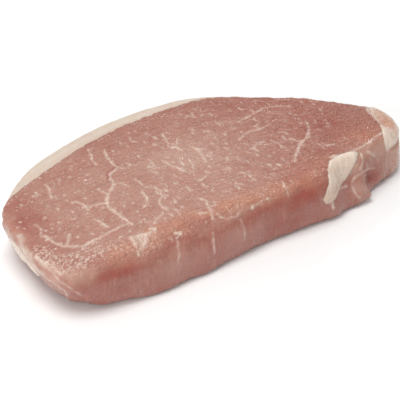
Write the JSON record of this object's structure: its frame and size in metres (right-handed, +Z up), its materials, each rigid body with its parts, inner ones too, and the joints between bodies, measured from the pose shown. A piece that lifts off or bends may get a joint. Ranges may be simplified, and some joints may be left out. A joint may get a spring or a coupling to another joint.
{
  "type": "raw pork chop",
  "caption": "Raw boneless pork loin chop: a thick D-shaped slice of pale pink lean with an arched cap of back fat, a white seam in its trimmed end and a small muscle at its tip.",
  "frame": {"origin": "on the board, under the middle of the chop's bounding box", "axes": "+X along the chop from its blunt tail to its narrow tip, +Y from the trimmed front edge to the arched fat edge, +Z up out of the upper cut face"},
  "size_m": [0.1562, 0.0782, 0.0195],
  "materials": {
    "lean": "wet raw lean, pale greyed pink with fine white marbling",
    "back_fat": "cream back fat, slightly greasy",
    "tip_lean": "wet raw lean, paler, edged with cream fat",
    "seam_fat": "wet white seam fat",
    "tail_fat": "wet cream fat under thin membrane"
  },
  "bodies": {
    "root": {"loin_eye": "lean", "fat_cap": "back_fat", "tip_muscle": "tip_lean", "seam_fat": "seam_fat", "tail_fat": "tail_fat"}
  },
  "joints": []
}
